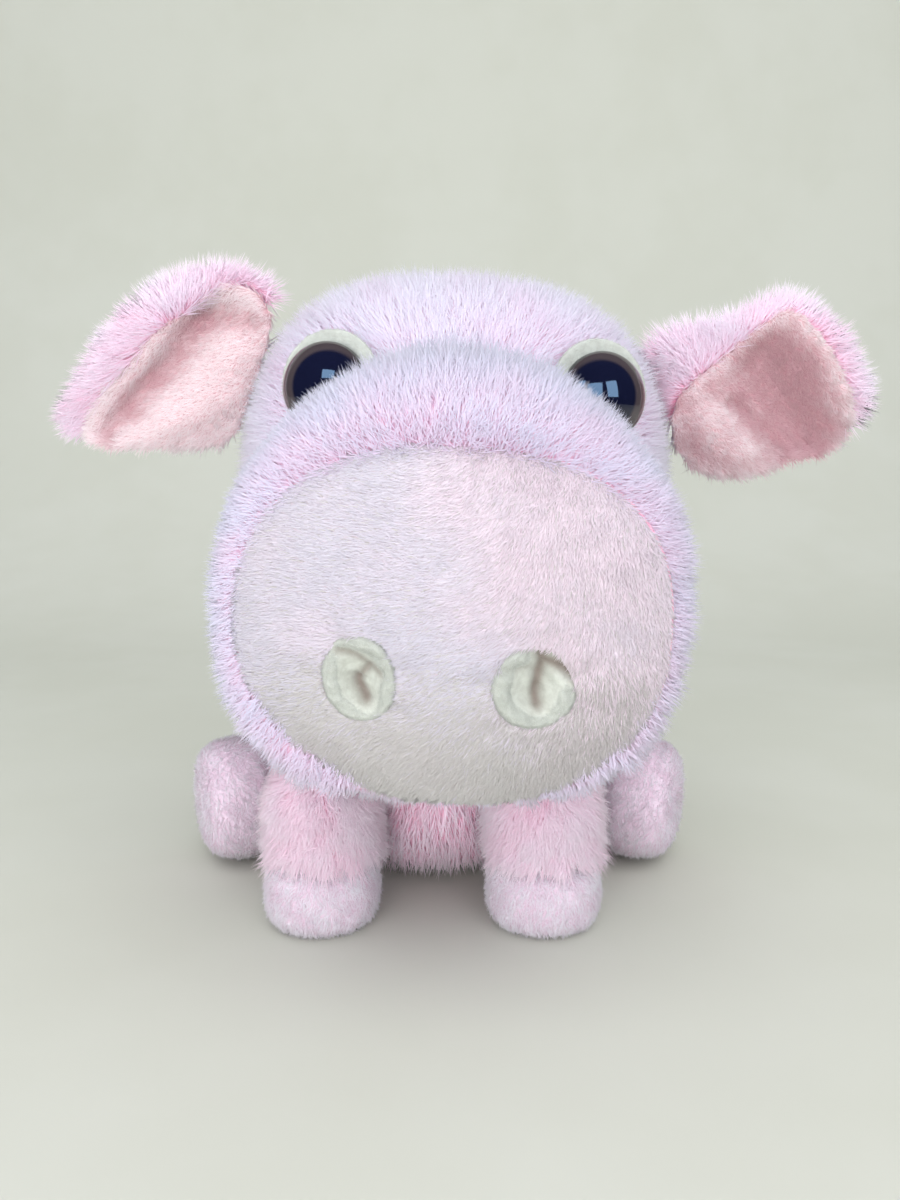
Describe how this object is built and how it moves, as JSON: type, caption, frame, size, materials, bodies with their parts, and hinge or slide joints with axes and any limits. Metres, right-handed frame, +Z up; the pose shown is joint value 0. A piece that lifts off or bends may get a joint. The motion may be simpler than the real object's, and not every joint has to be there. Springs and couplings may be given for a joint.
{
  "type": "plush pig",
  "caption": "Sitting plush pig with an oversized head, domed snout, flapping ears and soft swinging legs.",
  "frame": {"origin": "middle of the footprint box, on the surface that the toy sits on", "axes": "+Z up, the snout points along -Y, +X across the pig to the viewer's right in the front view"},
  "size_m": [0.2904, 0.2248, 0.2367],
  "materials": {
    "long_pile": "long-pile plush, pink at the roots",
    "short_nap": "short-nap plush",
    "cream_felt": "cream felt, puckered",
    "eye_dome": "polished dark plastic",
    "grey_felt": "felt",
    "washer": "moulded",
    "ear_lining": "short salmon plush",
    "hoof_nap": "short-pile plush",
    "stuffing": "polyester filling",
    "pouch_cloth": "woven pouch"
  },
  "bodies": {
    "torso": {"body_skin": "long_pile", "body_stuffing": "stuffing", "bean_pouch": "pouch_cloth"},
    "head": {"head_skin": "long_pile", "head_stuffing": "stuffing", "muzzle_skin": "long_pile", "snout_panel": "short_nap", "nostril_left": "cream_felt", "eye_left": "eye_dome", "eye_felt_left": "grey_felt", "eye_washer_left": "washer", "nostril_right": "cream_felt", "eye_right": "eye_dome", "eye_felt_right": "grey_felt", "eye_washer_right": "washer"},
    "ear_left": {"ear_back_left": "long_pile", "ear_lining_left": "ear_lining"},
    "ear_right": {"ear_back_right": "long_pile", "ear_lining_right": "ear_lining"},
    "tail": {"tail": "long_pile"},
    "front_leg_left": {"front_leg_left": "long_pile", "front_hoof_left": "hoof_nap", "front_leg_stuffing_left": "stuffing"},
    "hind_leg_left": {"hind_leg_left": "long_pile", "hind_hoof_left": "hoof_nap", "hind_leg_stuffing_left": "stuffing"},
    "front_leg_right": {"front_leg_right": "long_pile", "front_hoof_right": "hoof_nap", "front_leg_stuffing_right": "stuffing"},
    "hind_leg_right": {"hind_leg_right": "long_pile", "hind_hoof_right": "hoof_nap", "hind_leg_stuffing_right": "stuffing"}
  },
  "joints": [
    {"name": "head_nod", "type": "hinge", "parent": "torso", "child": "head", "pos_m": [-0.00673, 0.04072, 0.05], "axis": [1, 0, 0], "range_deg": [-12, 4], "stiffness_Nm_per_rad": 3, "springref_deg": -1.72},
    {"name": "ear_left_flap", "type": "hinge", "parent": "head", "child": "ear_left", "pos_m": [-0.07525, -0.00728, 0.19856], "axis": [0.3939, 0, 0.9191], "range_deg": [-30, 30], "stiffness_Nm_per_rad": 0.1},
    {"name": "ear_right_flap", "type": "hinge", "parent": "head", "child": "ear_right", "pos_m": [0.07492, -0.00728, 0.19016], "axis": [0.289, 0, -0.9573], "range_deg": [-30, 30], "stiffness_Nm_per_rad": 0.1},
    {"name": "tail_flap", "type": "hinge", "parent": "torso", "child": "tail", "pos_m": [-0.00823, 0.09722, 0.052], "axis": [1, 0, 0], "range_deg": [-20, 25], "stiffness_Nm_per_rad": 0.02},
    {"name": "front_leg_left_swing", "type": "hinge", "parent": "torso", "child": "front_leg_left", "pos_m": [-0.05063, -0.02428, 0.042], "axis": [1, 0, 0], "range_deg": [-20, 12], "stiffness_Nm_per_rad": 0.6},
    {"name": "hind_leg_left_swing", "type": "hinge", "parent": "torso", "child": "hind_leg_left", "pos_m": [-0.05824, 0.04572, 0.027], "axis": [0, 0, -1], "range_deg": [-12, 12], "stiffness_Nm_per_rad": 0.6},
    {"name": "front_leg_right_swing", "type": "hinge", "parent": "torso", "child": "front_leg_right", "pos_m": [0.03096, -0.02428, 0.042], "axis": [1, 0, 0], "range_deg": [-20, 12], "stiffness_Nm_per_rad": 0.6},
    {"name": "hind_leg_right_swing", "type": "hinge", "parent": "torso", "child": "hind_leg_right", "pos_m": [0.04176, 0.04572, 0.027], "axis": [0, 0, 1], "range_deg": [-12, 12], "stiffness_Nm_per_rad": 0.6}
  ]
}
